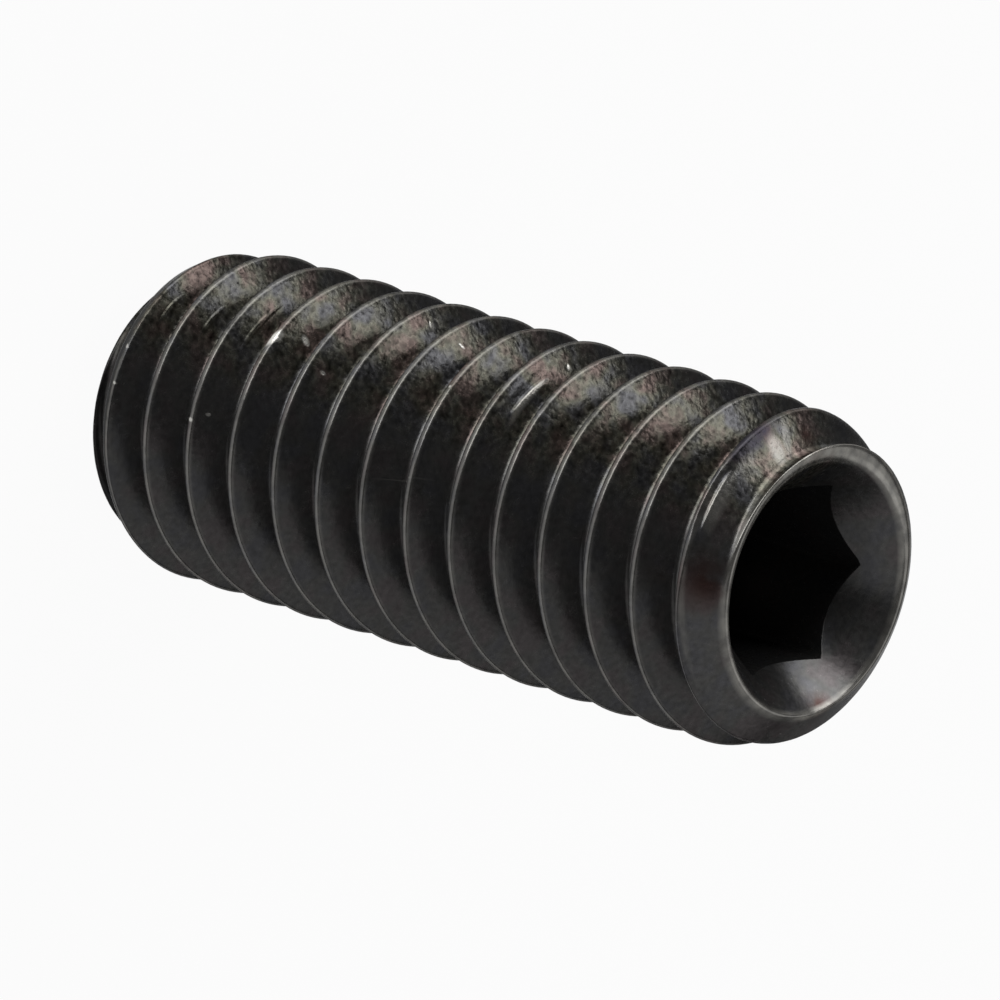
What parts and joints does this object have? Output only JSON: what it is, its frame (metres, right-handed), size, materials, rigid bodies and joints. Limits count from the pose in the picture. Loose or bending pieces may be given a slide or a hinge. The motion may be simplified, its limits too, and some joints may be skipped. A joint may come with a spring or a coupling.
{
  "type": "grub set screw",
  "caption": "Headless grub set screw with a right-hand thread along its whole length, a countersunk hexagon socket in one end and a chamfered flat point at the other.",
  "frame": {"origin": "centre of the flat point, where the screw's axis meets it", "axes": "+Z along the screw's axis from the point to the socket; +X through a corner of the hexagon socket"},
  "size_m": [0.004, 0.004, 0.01],
  "materials": {
    "black_oxide_steel": "satin black oxide, lightly oiled"
  },
  "bodies": {
    "root": {"set_screw": "black_oxide_steel"}
  },
  "joints": []
}
